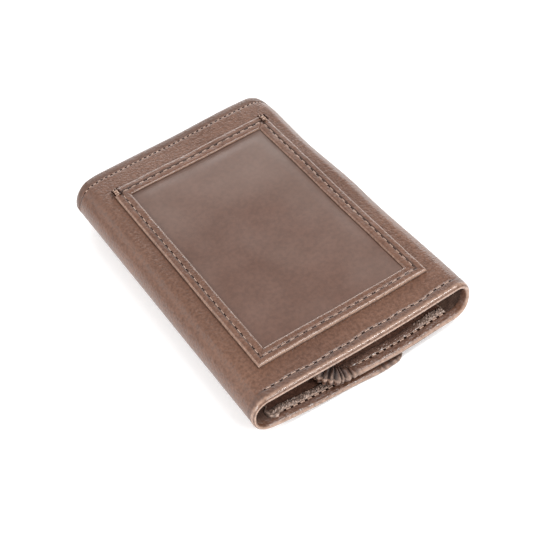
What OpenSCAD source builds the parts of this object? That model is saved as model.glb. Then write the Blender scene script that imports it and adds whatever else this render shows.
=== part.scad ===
// Trifold wallet, closed, lying on its outer wing with the outside ID window up.
// X runs across the wallet, from the big left fold to the small right fold.
// Y runs along it, from the open end of the bill compartment to the sewn far end.
// Z is up. The origin is under the middle of the closed wallet, on the surface it lies on.

/* [Closed size] */
// Width over both folds
closed_w = 81; // [76:1:84]
// Length from the open end to the sewn end
closed_l = 114; // [106:1:118]
// Height of the centre panel's outer face, without the ID frame
closed_h = 16.1; // [15.5:0.1:18]
// How far the outer wing's free end lies beyond the middle
outer_wing_reach = 14.8; // [6:0.2:18]
// Air between the two wings
wing_gap = 0.5; // [0.4:0.1:1.2]

/* [Leather and lining] */
// Thickness of the outer leather
leather_t = 1.1; // [0.9:0.1:1.3]
// Thickness of the thin leather of the card pockets
card_t = 0.5; // [0.4:0.05:0.6]
// Thickness of the fabric lining
lining_t = 0.25; // [0.2:0.05:0.3]
// Slack in the bill compartment behind the centre panel
bill_gap = 0.4; // [0.3:0.1:0.6]
// Slack in each card pocket
slot_gap = 0.1; // [0.1:0.05:0.15]
// Width of the leather turned under along the open end
hem_w = 7; // [6:0.5:9]

/* [ID window] */
// Width of the ID frame
id_w = 62; // [58:1:63]
// Length of the ID frame
id_l = 89; // [86:1:92]
// Width of the leather band around the window
id_band = 5; // [4:0.5:6]
// Thickness of the ID frame, with its turned edge
id_t = 1.3; // [1.1:0.1:1.6]
// Thickness of the clear film
film_t = 0.3; // [0.2:0.05:0.35]

/* [Card pockets] */
// Distance from the open end to the first pocket mouth
mouth_inset = 10; // [8:1:14]
// Step from each pocket mouth to the next
mouth_step = 10; // [8:1:12]

/* [Curled free end] */
// Where the inner wing starts to curl up, left of the middle
curl_start = 4; // [0:1:8]
// Radius of the curl, at the inner wing's outer leather
curl_r = 22; // [18:1:30]
// Angle through which the free end curls
curl_angle = 28; // [10:1:30]

/* [Stitches] */
// Distance from one stitch to the next
stitch_pitch = 3.2; // [2.5:0.1:4]
// Length of one visible stitch
stitch_l = 2; // [1.5:0.1:2.2]
// Width of the thread
thread_w = 0.5; // [0.4:0.05:0.7]

/* [Hidden] */
$fn = 96;

LEATHER = [0.40, 0.26, 0.20];
DARK_LEATHER = [0.33, 0.21, 0.16];
LINING = [0.20, 0.13, 0.11];
THREAD = [0.62, 0.50, 0.42];
FILM = [0.75, 0.72, 0.70, 0.5];

// The folds are half rounds; their leather meets the flat panels with a small joint gap.
joint_gap = 0.3;
// Cutting shapes run past the faces they cut by this much.
overshoot = 0.5;
y_near = -closed_l / 2;
y_far = closed_l / 2;

// Each layer's height, from the surface the wallet lies on.
wing_t = leather_t + lining_t + slot_gap + card_t + 2 * (slot_gap + card_t);
inner_z = wing_t + wing_gap;
left_r = closed_h / 2;
right_r = (closed_h - inner_z) / 2;
left_x = -closed_w / 2 + left_r;
right_x = closed_w / 2 - right_r;
center_x0 = left_x + joint_gap;
center_x1 = right_x - joint_gap;

// Heights of a wing's layers above its outer face.
wing_lining_h = leather_t;
wing_panel_h = wing_lining_h + lining_t + slot_gap;
wing_rear_h = wing_panel_h + card_t + slot_gap;
wing_front_h = wing_rear_h + card_t + slot_gap;

// Depths of the centre panel's layers below its outer face.
lining_d = leather_t;
divider_d = lining_d + lining_t + bill_gap;
panel_d = divider_d + lining_t;
rear_d = panel_d + card_t + slot_gap;
middle_d = rear_d + card_t + slot_gap;
front_d = middle_d + card_t + slot_gap;

// The inner parts stop short of the leather's edges, where its hems take over.
panel_inset = 1;
far_inset = 1.5;
pocket_side_inset = 3;
fold_side_inset = 2;
y_mouth_rear = y_near + mouth_inset;
y_mouth_middle = y_mouth_rear + mouth_step;
y_mouth_front = y_mouth_middle + mouth_step;

// Rounded corners of the wings' free ends, seen from above.
outer_corner_r = 4;
inner_corner_r = 7;

// The inner wing's lining and pockets stop this many degrees before its curled end.
lining_short_angle = 2;
pocket_short_angle = 8;

// Thread stands on the leather by this much.
thread_h = 0.2;
row_inset = 2.6;
tack_l = 3;
tack_w = 1.2;

// Rows of stitches along the two ends of the centre panel.
open_row_inset = 5.3;
open_row_pitch = 3;
far_row_inset = 3.7;
far_row_pitch = 2.2;
far_row_stitch = 1.5;
wing_row_inset = 2.8;
pocket_row_inset = 1.6;
pocket_row_margin = 3;

// ID frame: its turned edge lifts the band over the film, and is open at the far end.
id_x = 0.4;
id_y = 0.3;
id_rim_h = 0.4;
id_rim_w = 2;
film_clear = 0.25;
film_x = id_w - 2 * id_rim_w - 2 * film_clear;
film_y = id_l - id_rim_w - 2 * film_clear;
id_row_inset = 2.5;

// A flat sheet between two corners.
module sheet(x0, x1, y0, y1, z0, t) {
    translate([x0, y0, z0]) cube([x1 - x0, y1 - y0, t]);
}

// Outline of a panel whose corners at x1 are rounded.
module rounded_end(x0, x1, y0, y1, r) {
    difference() {
        translate([x0, y0]) square([x1 - x0, y1 - y0]);
        for (side = [-1, 1]) {
            corner_y = side < 0 ? y0 : y1;
            translate([x1, corner_y]) rotate(side < 0 ? 90 : 180) difference() {
                translate([-overshoot, -overshoot]) square(r + overshoot);
                translate([r, r]) circle(r);
            }
        }
    }
}

// A profile drawn in X and Z, run along Y.
module along_y(y0, y1) {
    translate([0, y1, 0]) rotate([90, 0, 0]) linear_extrude(y1 - y0) children();
}

// Half of a round sheet, on the left of its middle.
module half_round(r, t) {
    difference() {
        circle(r);
        circle(r - t);
        translate([0, -2 * r]) square(4 * r);
    }
}

// A row of stitches along X.
module stitch_row(length, pitch, stitch) {
    count = floor((length - stitch) / pitch);
    start = -count * pitch / 2 - stitch / 2;
    for (i = [0:count])
        translate([start + i * pitch, -thread_w / 2, 0]) cube([stitch, thread_w, thread_h]);
}

// The two rows of stitches along the sides of a front pocket, from its mouth.
module pocket_rows(x0, x1, y0, y1, z) {
    length = y1 - y0 - 2 * pocket_row_margin;
    for (x = [x0 + pocket_row_inset, x1 - pocket_row_inset])
        translate([x, (y0 + y1) / 2, z]) rotate(90) stitch_row(length, stitch_pitch, stitch_l);
}

// One layer of the inner wing: flat, then curled up at its free end.
module inner_wing_layer(h, t, x_fold, y0, y1, short_angle = 0) {
    z0 = inner_z + h;
    center_z = inner_z + curl_r;
    sweep = curl_angle - short_angle;
    along_y(y0, y1) union() {
        translate([-curl_start, z0]) square([x_fold + curl_start, t]);
        translate([-curl_start, center_z]) intersection() {
            difference() {
                circle(curl_r - h);
                circle(curl_r - h - t);
            }
            polygon([
                [0, 0],
                [0, -2 * curl_r],
                [-2 * curl_r * tan(sweep), -2 * curl_r]
            ]);
        }
    }
}

// Keeps an inner wing layer inside the outline with rounded free corners.
module inner_wing_outline(y0, y1, inset) {
    free_x = -curl_start - curl_r * sin(curl_angle) + inset;
    translate([0, 0, inner_z - overshoot]) linear_extrude(closed_h)
        mirror([1, 0]) rounded_end(-center_x1, -free_x, y0, y1, inner_corner_r - inset);
}

module center_shell() {
    edge_r = leather_t;
    color(LEATHER) union() {
        sheet(center_x0, center_x1, y_near + edge_r, y_far, closed_h - leather_t, leather_t);
        translate([center_x0, y_near + edge_r, closed_h - edge_r]) rotate([0, 90, 0])
            linear_extrude(center_x1 - center_x0) intersection() {
                circle(edge_r);
                translate([-edge_r, -edge_r]) square([2 * edge_r, edge_r]);
            }
        sheet(center_x0, center_x1, y_near + edge_r, y_near + hem_w,
            closed_h - 2 * leather_t, leather_t);
    }
}

module center_lining() {
    color(LINING) sheet(center_x0, center_x1, y_near + hem_w, y_far - far_inset,
        closed_h - lining_d - lining_t, lining_t);
}

module bill_divider() {
    color(LINING) sheet(center_x0, center_x1, y_near + hem_w, y_far - far_inset,
        closed_h - divider_d - lining_t, lining_t);
}

// A thin leather leaf on the underside of the centre panel.
module center_leaf(depth, y0) {
    sheet(center_x0 + fold_side_inset, center_x1 - fold_side_inset, y0, y_far - far_inset,
        closed_h - depth - card_t, card_t);
}

module center_card_panel() {
    color(DARK_LEATHER) center_leaf(panel_d, y_near + hem_w);
}

module center_pocket_rear() {
    color(LEATHER) center_leaf(rear_d, y_mouth_rear);
}

module center_pocket_middle() {
    color(LEATHER) center_leaf(middle_d, y_mouth_middle);
}

module center_pocket_front() {
    color(LEATHER) center_leaf(front_d, y_mouth_front);
}

module id_frame() {
    color(LEATHER) translate([id_x, id_y, closed_h]) union() {
        translate([0, 0, id_rim_h]) linear_extrude(id_t - id_rim_h) difference() {
            square([id_w, id_l], center = true);
            square([id_w - 2 * id_band, id_l - 2 * id_band], center = true);
        }
        linear_extrude(id_rim_h) difference() {
            square([id_w, id_l], center = true);
            translate([-id_w / 2 + id_rim_w, -id_l / 2 + id_rim_w])
                square([id_w - 2 * id_rim_w, id_l]);
        }
    }
}

module id_window() {
    color(FILM) translate([id_x - film_x / 2, id_y - id_l / 2 + id_rim_w + film_clear,
        closed_h + (id_rim_h - film_t) / 2]) cube([film_x, film_y, film_t]);
}

module id_frame_stitching() {
    row_w = id_w - 2 * id_row_inset;
    row_l = id_l - 2 * id_row_inset;
    color(THREAD) translate([id_x, id_y, closed_h + id_t]) {
        for (side = [-1, 1]) {
            translate([0, side * row_l / 2, 0]) stitch_row(row_w, stitch_pitch, stitch_l);
            translate([side * row_w / 2, 0, 0]) rotate(90)
                stitch_row(row_l - 2 * thread_w, stitch_pitch, stitch_l);
        }
    }
}

module id_bar_tacks() {
    tack_x = (id_w - tack_w) / 2;
    color(THREAD) for (side = [-1, 1])
        translate([id_x + side * tack_x - tack_w / 2, id_y + id_l / 2 - tack_l, closed_h + id_t])
            cube([tack_w, tack_l, thread_h]);
}

module open_end_stitching() {
    color(THREAD) translate([(center_x0 + center_x1) / 2, y_near + open_row_inset, closed_h])
        stitch_row(center_x1 - center_x0, open_row_pitch, stitch_l);
}

module far_end_stitching() {
    color(THREAD) translate([(center_x0 + center_x1) / 2, y_far - far_row_inset, closed_h])
        stitch_row(center_x1 - center_x0, far_row_pitch, far_row_stitch);
}

module center_pocket_stitching() {
    color(THREAD) pocket_rows(center_x0 + fold_side_inset, center_x1 - fold_side_inset,
        y_mouth_front, y_far - far_inset, closed_h - front_d - card_t - thread_h);
}

module left_fold_leather() {
    color(LEATHER) along_y(y_near, y_far) translate([left_x, left_r]) half_round(left_r, leather_t);
}

module left_fold_lining() {
    color(LINING) along_y(y_near + panel_inset, y_far - far_inset)
        translate([left_x, left_r]) half_round(left_r - leather_t, lining_t);
}

module right_fold_leather() {
    color(LEATHER) along_y(y_near, y_far) translate([right_x, inner_z + right_r])
        mirror([1, 0]) half_round(right_r, leather_t);
}

module right_fold_lining() {
    color(LINING) along_y(y_near + panel_inset, y_far - far_inset)
        translate([right_x, inner_z + right_r])
            mirror([1, 0]) half_round(right_r - leather_t, lining_t);
}

// One layer of the outer wing, with rounded corners at its free end.
module outer_wing_layer(h, t, x0, y0, inset) {
    translate([0, 0, h]) linear_extrude(t)
        rounded_end(x0, outer_wing_reach - inset, y0, inset > 0 ? y_far - far_inset : y_far,
            outer_corner_r - inset);
}

module outer_wing_leather() {
    color(LEATHER) outer_wing_layer(0, leather_t, center_x0, y_near, 0);
}

module outer_wing_lining() {
    color(LINING) outer_wing_layer(wing_lining_h, lining_t, center_x0, y_near + panel_inset,
        panel_inset);
}

module outer_wing_card_panel() {
    color(DARK_LEATHER) outer_wing_layer(wing_panel_h, card_t, center_x0 + fold_side_inset,
        y_near + panel_inset, panel_inset);
}

module outer_wing_pocket_rear() {
    color(LEATHER) sheet(center_x0 + fold_side_inset, outer_wing_reach - pocket_side_inset,
        y_mouth_rear, y_far - pocket_side_inset, wing_rear_h, card_t);
}

module outer_wing_pocket_front() {
    color(LEATHER) sheet(center_x0 + fold_side_inset, outer_wing_reach - pocket_side_inset,
        y_mouth_middle, y_far - pocket_side_inset, wing_front_h, card_t);
}

module outer_wing_stitching() {
    row_x0 = center_x0 + fold_side_inset;
    row_x1 = outer_wing_reach - outer_corner_r;
    color(THREAD) translate([(row_x0 + row_x1) / 2, y_near + wing_row_inset,
        wing_panel_h + card_t]) stitch_row(row_x1 - row_x0, stitch_pitch, stitch_l);
}

module outer_wing_pocket_stitching() {
    color(THREAD) pocket_rows(center_x0 + fold_side_inset,
        outer_wing_reach - pocket_side_inset, y_mouth_middle, y_far - pocket_side_inset,
        wing_front_h + card_t);
}

module inner_wing_leather() {
    color(LEATHER) intersection() {
        inner_wing_layer(0, leather_t, center_x1, y_near, y_far);
        inner_wing_outline(y_near, y_far, 0);
    }
}

module inner_wing_lining() {
    color(LINING) intersection() {
        inner_wing_layer(wing_lining_h, lining_t, center_x1, y_near + panel_inset,
            y_far - far_inset, lining_short_angle);
        inner_wing_outline(y_near + panel_inset, y_far - far_inset, panel_inset);
    }
}

module inner_wing_card_panel() {
    color(DARK_LEATHER) intersection() {
        inner_wing_layer(wing_panel_h, card_t, center_x1 - fold_side_inset,
            y_near + panel_inset, y_far - far_inset, lining_short_angle);
        inner_wing_outline(y_near + panel_inset, y_far - far_inset, panel_inset);
    }
}

module inner_wing_pocket_rear() {
    color(LEATHER) inner_wing_layer(wing_rear_h, card_t, center_x1 - fold_side_inset,
        y_mouth_rear, y_far - inner_corner_r, pocket_short_angle);
}

module inner_wing_pocket_front() {
    color(LEATHER) inner_wing_layer(wing_front_h, card_t, center_x1 - fold_side_inset,
        y_mouth_middle, y_far - inner_corner_r, pocket_short_angle);
}

module inner_wing_stitching() {
    row_x1 = center_x1 - fold_side_inset;
    color(THREAD) translate([(row_x1 - curl_start) / 2, y_near + wing_row_inset,
        inner_z + wing_panel_h + card_t])
        stitch_row(row_x1 + curl_start, stitch_pitch, stitch_l);
}

module inner_wing_pocket_stitching() {
    color(THREAD) pocket_rows(-curl_start, center_x1 - fold_side_inset, y_mouth_middle,
        y_far - inner_corner_r, inner_z + wing_front_h + card_t);
}

center_shell();
center_lining();
bill_divider();
center_card_panel();
center_pocket_rear();
center_pocket_middle();
center_pocket_front();
id_frame();
id_window();
id_frame_stitching();
id_bar_tacks();
open_end_stitching();
far_end_stitching();
center_pocket_stitching();
left_fold_leather();
left_fold_lining();
right_fold_leather();
right_fold_lining();
outer_wing_leather();
outer_wing_lining();
outer_wing_card_panel();
outer_wing_pocket_rear();
outer_wing_pocket_front();
outer_wing_stitching();
outer_wing_pocket_stitching();
inner_wing_leather();
inner_wing_lining();
inner_wing_card_panel();
inner_wing_pocket_rear();
inner_wing_pocket_front();
inner_wing_stitching();
inner_wing_pocket_stitching();
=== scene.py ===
import math

import bmesh
import bpy
import numpy as np
from mathutils import Matrix, Vector


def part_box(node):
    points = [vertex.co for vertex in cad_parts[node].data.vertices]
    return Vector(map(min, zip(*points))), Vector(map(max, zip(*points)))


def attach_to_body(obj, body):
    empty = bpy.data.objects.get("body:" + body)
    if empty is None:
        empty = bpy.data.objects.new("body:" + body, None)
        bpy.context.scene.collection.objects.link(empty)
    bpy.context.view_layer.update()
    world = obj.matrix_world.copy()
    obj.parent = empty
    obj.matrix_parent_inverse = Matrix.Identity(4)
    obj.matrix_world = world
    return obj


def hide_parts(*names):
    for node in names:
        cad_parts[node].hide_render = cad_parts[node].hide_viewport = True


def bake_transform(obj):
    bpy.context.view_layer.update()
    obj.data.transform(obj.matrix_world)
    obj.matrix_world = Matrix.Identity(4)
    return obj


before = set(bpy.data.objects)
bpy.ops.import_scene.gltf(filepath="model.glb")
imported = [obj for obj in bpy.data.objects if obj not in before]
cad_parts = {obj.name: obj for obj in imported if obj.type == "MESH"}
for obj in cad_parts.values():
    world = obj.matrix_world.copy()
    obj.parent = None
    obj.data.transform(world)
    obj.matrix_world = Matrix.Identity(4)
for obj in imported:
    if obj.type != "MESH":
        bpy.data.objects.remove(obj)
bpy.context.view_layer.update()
MM = 0.001
scene = bpy.context.scene


def box_mm(node):
    """Lowest and highest corner of a CAD node, in millimetres."""
    low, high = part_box(node)
    return np.array(low) / MM, np.array(high) / MM


# -------- sizes, all in millimetres
SHELL_LOW, SHELL_HIGH = box_mm("center_shell")
LEFT_LOW, LEFT_HIGH = box_mm("left_fold_leather")
RIGHT_LOW, RIGHT_HIGH = box_mm("right_fold_leather")
OUTER_LOW, OUTER_HIGH = box_mm("outer_wing_leather")
INNER_LOW, INNER_HIGH = box_mm("inner_wing_leather")
FRAME_LOW, FRAME_HIGH = box_mm("id_frame")
FILM_LOW, FILM_HIGH = box_mm("id_window")

Y_NEAR, Y_FAR = SHELL_LOW[1], SHELL_HIGH[1]
TOP_Z = SHELL_HIGH[2]
INNER_Z = INNER_LOW[2]
LEATHER = OUTER_HIGH[2] - OUTER_LOW[2]
LINING = 0.25
CARD = 0.5
WING = box_mm("outer_wing_pocket_front")[1][2]

# The big fold is fuller near the top, and the outer wing rises gently towards it.
LIFT = 3.0
LEFT_WIDEST_Z = 9.4
RIGHT_WIDEST_Z = 11.0
REST_X = 2.0
# The inner wing's free end curls up from here.
CURL_X, CURL_R, CURL_ANGLE = -5.0, 22.0, 32


# -------- the folded skin's path
class Path:
    """A line in X and Z, followed by its length, whose normal points out of the leather. It
    starts at the outer wing's free end and is drawn on from its last point."""

    def __init__(self, start):
        self.points, self.marks = [start], {}

    def add(self, points, mark=None):
        self.points += [tuple(p) for p in points]
        if mark:
            self.marks[mark] = len(self.points) - 1

    def level(self, x, count, mark=None):
        x0, z = self.points[-1]
        self.add([(a, z) for a in np.linspace(x0, x, count)[1:]], mark)

    def curve(self, p1, p2, p3, mark):
        """A cubic curve to p3."""
        t = np.linspace(0, 1, 25)[1:, None]
        u = 1 - t
        p0, p1, p2, p3 = (np.array(p, float) for p in (self.points[-1], p1, p2, p3))
        self.add(u**3 * p0 + 3 * u**2 * t * p1 + 3 * u * t**2 * p2 + t**3 * p3, mark)

    def close(self):
        self.points = np.array(self.points, float)
        steps = np.hypot(*np.diff(self.points, axis=0).T)
        self.length = np.concatenate([[0], np.cumsum(steps)])
        tangent = np.gradient(self.points, self.length, axis=0)
        tangent /= np.linalg.norm(tangent, axis=1)[:, None]
        self.columns = (*self.points.T, -tangent[:, 1], tangent[:, 0])
        self.marks = {k: self.length[i] for k, i in self.marks.items()}
        return self

    def at(self, s):
        """(x, z, normal x, normal z) at that length along the path."""
        x, z, nx, nz = (np.interp(s, self.length, column) for column in self.columns)
        size = np.hypot(nx, nz)
        return x, z, nx / size, nz / size

    def where(self, x, low, high):
        """The length at which the path between two marks reaches x."""
        s = np.linspace(self.marks[low], self.marks[high], 800)
        return s[np.argmin(abs(self.at(s)[0] - x))]


def outer_path():
    """The outer face of the leather, from the outer wing's free end to the inner wing's."""
    fold_x, left_x, right_x = OUTER_LOW[0], LEFT_LOW[0], RIGHT_HIGH[0]
    top_x, low_x = LEFT_HIGH[0], RIGHT_LOW[0]
    slope = 2 * LIFT / (REST_X - fold_x)
    path = Path((OUTER_HIGH[0], 0))
    path.add([], "outer_free")
    path.level(REST_X, 8)
    path.add([(x, LIFT * ((REST_X - x) / (REST_X - fold_x)) ** 2)
              for x in np.linspace(REST_X, fold_x, 24)[1:]], "left_low")
    path.curve((fold_x - 4.5, LIFT + 4.5 * slope), (left_x, LEFT_WIDEST_Z - 4.2),
               (left_x, LEFT_WIDEST_Z), "left_mid")
    path.curve((left_x, LEFT_WIDEST_Z + 3.3), (top_x - 5.6, TOP_Z), (top_x - 1.6, TOP_Z),
               "left_high")
    path.level(0, 30, "middle")
    path.level(low_x + 1.2, 30, "right_high")
    path.curve((low_x + 3.6, TOP_Z), (right_x, RIGHT_WIDEST_Z + 2.9),
               (right_x, RIGHT_WIDEST_Z), "right_mid")
    path.curve((right_x, RIGHT_WIDEST_Z - 3.9), (low_x + 3.0, INNER_Z),
               (low_x - 1.5, INNER_Z), "right_low")
    path.level(CURL_X, 24, "curl")
    turn = np.radians(np.linspace(0, CURL_ANGLE, 17)[1:])
    path.add(zip(CURL_X - CURL_R * np.sin(turn), INNER_Z + CURL_R * (1 - np.cos(turn))),
             "inner_free")
    return path.close()


PATH = outer_path()
MARK = PATH.marks


def smooth(low, high, value):
    """0 below low, 1 above high, and a smooth rise between."""
    t = np.clip((value - low) / (high - low), 0, 1)
    return t * t * (3 - 2 * t)


def bump(value, middle, width):
    return np.exp(-(((value - middle) / width) ** 2))


def waves(a, b, size, seed, count=12):
    """A smooth random field over two coordinates, mostly between -1 and 1."""
    rng = np.random.default_rng(seed)
    field = 0
    for _ in range(count):
        angle, phase = rng.uniform(0, 2 * math.pi, 2)
        k = 2 * math.pi / size * rng.uniform(0.6, 1.4)
        field = field + np.sin(k * (a * math.cos(angle) + b * math.sin(angle)) + phase)
    return field / math.sqrt(count)


def warp(x, y, z):
    """The slack of soft leather: the open end sags and flares, the small fold leans in."""
    upper = smooth(7, 13, z)
    across = np.clip((x - LEFT_LOW[0]) / (RIGHT_HIGH[0] - LEFT_LOW[0]), 0, 1)
    sag = -0.4 * bump(y, Y_NEAR, 13) * np.sin(math.pi * across) ** 2
    flare = 0.9 * bump(y, Y_NEAR, 20) * smooth(0.7, 1, across)
    far_flare = 0.5 * bump(y, Y_FAR, 22) * smooth(0.45, 0.8, across)
    slack = 0.12 * waves(x, y, 34, 5)
    lean = -1.65 * smooth(Y_NEAR + 9, Y_NEAR + 53, y) - 1.85 * smooth(-2, 32, y)
    lean = lean * smooth(29, 40, x)
    recess = 1.7 * smooth(2.5, 13, z) * (1 - smooth(Y_NEAR + 5, Y_NEAR + 13, y))
    tuck = -2.4 * smooth(26, 41, abs(x)) ** 2 * smooth(Y_FAR - 14, Y_FAR, y)
    drop = -0.8 * smooth(30, 40, x) * smooth(Y_FAR - 10, Y_FAR, y)
    near = 1 - smooth(Y_NEAR + 3, Y_NEAR + 13, y)
    inner_out = -0.6 * smooth(3.2, 4.2, z) * (1 - smooth(8, 10, z)) * bump(x, 14, 11)
    outer_out = -0.9 * (1 - smooth(2.4, 3.4, z)) * bump(x, 6, 8)
    push = recess + tuck + near * (inner_out + outer_out)
    return x + lean, y + push, z + upper * (sag + flare + far_flare + slack + drop)


CORNERS = {"outer_free": 4.0, "inner_free": 7.0}
PLEAT_STEP = 2.3
PLEAT_DEPTH = {"outer_free": 0.12, "inner_free": 1.2}


def pleat_valleys(s, y, free):
    """Where the turned edge gathers round a free end's rounded corners: 1 in the narrow valleys
    and 0 on the round ridges, with the direction (s, y) that leads in from the edge."""
    corner = CORNERS[free]
    way = 1 if free == "inner_free" else -1
    out_s = corner - abs(MARK[free] - s)
    valleys, into_s, into_y = 0, 0, 0
    for out_y, side, share in ((Y_NEAR + corner - y, 1, 1.0), (y - Y_FAR + corner, -1, 0.4)):
        angle = np.clip(np.arctan2(out_s, np.maximum(out_y, 0.01)), 0, math.pi / 2)
        along = corner * angle + np.minimum(out_s, 0) + np.maximum(-out_y, 0)
        here = smooth(-8, -4, along) * (1 - smooth(corner * 1.2, corner * 1.57, along))
        here = here * smooth(-4, -1, out_y)
        swing = math.pi * along / PLEAT_STEP + 0.6 * waves(out_s, out_y, 5.0, 3)
        depth = share * here * (1 - np.abs(np.sin(swing)) ** 0.6)
        valleys = valleys + depth
        into_s = into_s - way * depth * np.sin(angle)
        into_y = into_y + side * depth * np.cos(angle)
    return valleys, into_s, into_y


def dome(s, y):
    """1 at the middle of the inner wing's puffed free corner at the open end, and 0 far off."""
    return bump(s, MARK["inner_free"] - 4.5, 6.5) * bump(y, Y_NEAR + 2.0, 7.0)


def corner_lift(s, y):
    """The inner wing's free corner at the open end hangs lower than the rest of its end."""
    along = smooth(MARK["curl"] - 3, MARK["inner_free"], s)
    return -1.3 * along * (1 - smooth(Y_NEAR + 3, Y_NEAR + 16, y))


def place(s, y, depth):
    """A point inside the leather, as far in from its outer face as depth, in millimetres."""
    x, z, nx, nz = PATH.at(s)
    z = z - nz * depth + corner_lift(s, y)
    return np.stack(np.broadcast_arrays(*warp(x - nx * depth, y + 0 * x, z)), -1)


# The quarters of the folds: the bodies on both sides, the fold's middle, and a start and an end
# across the quarter, given in X and Z from the fold's middle.
LEFT_FOLD_MID = (LEFT_HIGH[0], LEFT_WIDEST_Z)
RIGHT_FOLD_MID = (RIGHT_LOW[0], RIGHT_WIDEST_Z)
QUARTERS = {
    "left_lower": ("outer_wing", "left_fold", LEFT_FOLD_MID, (-1.0, -7.4), (-6.0, -2.4)),
    "left_upper": ("left_fold", "center_panel", LEFT_FOLD_MID, (-6.0, 2.1), (-0.5, 6.6)),
    "right_upper": ("center_panel", "right_fold", RIGHT_FOLD_MID, (-2.8, 5.1), (1.7, 1.5)),
    "right_lower": ("right_fold", "inner_wing", RIGHT_FOLD_MID, (1.7, -1.5), (-3.3, -6.5)),
}


def attach(piece, body, nodes):
    """body is the body that a piece rides on, or a quarter of a fold, for which the piece is only
    baked where it stands; nodes are the CAD nodes that it replaces."""
    if body in QUARTERS:
        body_a, body_b, middle, *line = QUARTERS[body]
        start, end = (((middle[0] + dx) * MM, 0, (middle[1] + dz) * MM) for dx, dz in line)
        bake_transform(piece)
        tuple(start)
        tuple(end)
    else:
        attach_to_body(piece, body)
    if nodes:
        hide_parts(*nodes)


# The skin and the lining are cut where no edge shows: mid-fold, and under the ID frame.
CUTS = [("outer_free", "left_mid", "left_lower"), ("left_mid", "middle", "left_upper"),
        ("middle", "right_mid", "right_upper"), ("right_mid", "inner_free", "right_lower")]


# -------- materials
def rgba(colour):
    return (*colour, 1)


class Look:
    """A material, with short ways to add nodes. A source is a node's output socket, and an
    input takes a source, a number or a colour. Noise scales are in cells per metre."""

    def __init__(self, name):
        self.material = bpy.data.materials.new(name)
        self.material.use_nodes = True
        self.tree = self.material.node_tree
        self.coords = self.add("TexCoord").outputs["Object"]

    def put(self, node, inputs):
        for name, value in inputs.items():
            if isinstance(value, bpy.types.NodeSocket):
                self.tree.links.new(value, node.inputs[name])
            else:
                node.inputs[name].default_value = value

    def add(self, kind, **inputs):
        node = self.tree.nodes.new("ShaderNode" + kind)
        self.put(node, inputs)
        return node

    def surface(self, inputs):
        """Sets the shader's own inputs and returns the finished material."""
        self.put(self.tree.nodes["Principled BSDF"], inputs)
        return self.material

    def attribute(self, name):
        node = self.add("Attribute")
        node.attribute_name = name
        return node.outputs["Fac"]

    def noise(self, scale, detail):
        return self.add("TexNoise", Vector=self.coords, Scale=scale, Detail=detail,
                        Roughness=0.55).outputs["Fac"]

    def creases(self, squeeze):
        """Fine creases across an edge: noise drawn out along one direction."""
        squeezed = self.add("Mapping", Vector=self.coords, Scale=squeeze).outputs["Vector"]
        return self.add("TexNoise", Vector=squeezed, Scale=1000, Detail=2).outputs["Fac"]

    def ramp(self, source, low, high):
        """A colour ramp over a source, between two (place, colour) stops."""
        node = self.add("ValToRGB", Fac=source)
        for element, (place, colour) in zip(node.color_ramp.elements, (low, high)):
            element.position = place
            element.color = rgba(colour)
        return node.outputs["Color"]

    def math(self, operation, a, b):
        node = self.add("Math")
        node.operation = operation
        self.put(node, {0: a, 1: b})
        return node.outputs["Value"]

    def times(self, a, b):
        return self.math("MULTIPLY", a, b)

    def mix(self, factor, a, b, blend="MIX"):
        node = self.add("Mix")
        node.data_type = "RGBA"
        node.blend_type = blend
        self.put(node, {"Factor": factor, "A": a, "B": b})
        return node.outputs["Result"]

    def bumps(self, *layers):
        """Bump nodes one on the other: each layer is (height, strength, distance in metres)."""
        normal = None
        for height, strength, distance in layers:
            node = self.add("Bump", Height=height, Strength=strength, Distance=distance)
            if normal:
                self.put(node, {"Normal": normal})
            normal = node.outputs["Normal"]
        return normal


# The near-black brown that painted shade mixes into the leather's colour.
PAINTED_SHADE_COLOUR = (0.018, 0.006, 0.003)


def leather_material(name, dark, light, pale_wear_and_highlight, roughness, grain=1.0):
    """Full-grain leather: pebbled cells, fine pores, slow colour changes, edges painted pale as
    wear and as painted highlights, painted shade, and short creases across the turned edges."""
    look = Look(name)
    marks = ("wear_and_highlight", "shade", "gloss", "hem_x", "hem_y")
    wear_and_highlight, shade, gloss, hem_x, hem_y = (look.attribute(mark) for mark in marks)
    fine = look.noise(1000, 3)
    cells = look.add("TexVoronoi", Vector=look.coords, Scale=1300).outputs["Distance"]
    colour = look.ramp(look.noise(38, 5), (0.30, dark), (0.70, light))
    pores = look.ramp(fine, (0.32, (0.62, 0.60, 0.59)), (0.64, (1.16, 1.16, 1.16)))
    colour = look.mix(0.8, colour, pores, "MULTIPLY")
    # wear and painted highlight: pale edges mix the colour towards a pale tone
    wear_and_highlight_share = look.times(look.times(wear_and_highlight, fine), 1.5)
    colour = look.mix(wear_and_highlight_share, colour, rgba(pale_wear_and_highlight))
    # painted shade: the shade attribute darkens the colour towards a near-black brown
    painted_shade_share = look.times(shade, 0.8)
    colour = look.mix(painted_shade_share, colour, rgba(PAINTED_SHADE_COLOUR))
    rough = look.ramp(fine, (0.35, (roughness - 0.06,) * 3), (0.65, (roughness + 0.08,) * 3))
    rough = look.math("SUBTRACT", rough, look.times(gloss, 0.20))
    rough = look.math("ADD", rough, look.times(painted_shade_share, 0.35))
    matt = look.math("SUBTRACT", 1.0, look.times(gloss, 0.75))
    across_hems = look.math("ADD", look.times(hem_x, look.creases((1.0, 0.10, 0.10))),
                            look.times(hem_y, look.creases((0.10, 1.0, 0.10))))
    normal = look.bumps((look.noise(170, 2), 0.14 * grain, 0.0005),
                        (across_hems, 0.22, 0.0004),
                        (look.times(cells, matt), 0.60 * grain, 0.00014),
                        (look.times(fine, matt), 0.40 * grain, 0.00012))
    return look.surface({"Base Color": colour, "Roughness": rough, "Normal": normal,
                         "Specular IOR Level": 0.55, "Sheen Weight": 0.24,
                         "Sheen Roughness": 0.35})


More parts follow.
